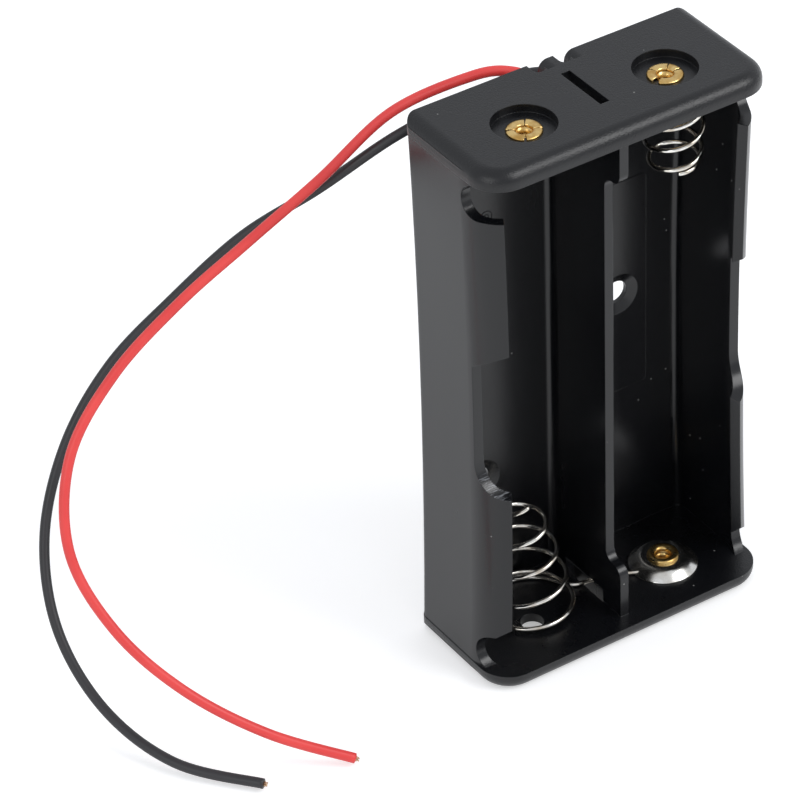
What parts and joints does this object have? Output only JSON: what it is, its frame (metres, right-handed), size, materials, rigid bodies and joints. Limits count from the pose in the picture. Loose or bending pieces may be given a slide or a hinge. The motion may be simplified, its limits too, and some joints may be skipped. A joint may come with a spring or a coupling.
{
  "type": "two-bay cylindrical cell holder",
  "caption": "Open plastic holder for two cylindrical cells side by side, wired in series, with coil spring and eyelet contacts and a red and a black lead.",
  "frame": {"origin": "centre of the holder's footprint under its lower end wall, as it stands on end", "axes": "+Z along the cells, from the end with the series link to the end with the leads; the open face looks to -Y and the flat back lies at +Y; +X to the right as seen from the open face"},
  "size_m": [0.0861, 0.0441, 0.0766],
  "materials": {
    "housing": "satin",
    "nickel": "bright",
    "brass": "bright",
    "red_insulation": "satin",
    "black_insulation": "satin",
    "strands": "tinned"
  },
  "bodies": {
    "holder": {"housing": "housing", "positive_contact_washer": "nickel", "positive_contact_eyelet": "brass", "series_contact_washer": "nickel", "series_contact_eyelet": "brass", "negative_contact_eyelet": "brass", "red_lead": "red_insulation", "red_lead_strands": "strands", "black_lead": "black_insulation", "black_lead_strands": "strands"},
    "series_spring": {"series_spring": "nickel"},
    "negative_spring": {"negative_spring": "nickel"}
  },
  "joints": [
    {"name": "series_spring_press", "type": "slide", "parent": "holder", "child": "series_spring", "axis": [0, 0, -1], "range_m": [0, 0.006], "stiffness_N_per_m": 700, "deforming": ["series_spring"]},
    {"name": "negative_spring_press", "type": "slide", "parent": "holder", "child": "negative_spring", "axis": [0, 0, 1], "range_m": [0, 0.006], "stiffness_N_per_m": 700, "deforming": ["negative_spring"]}
  ]
}
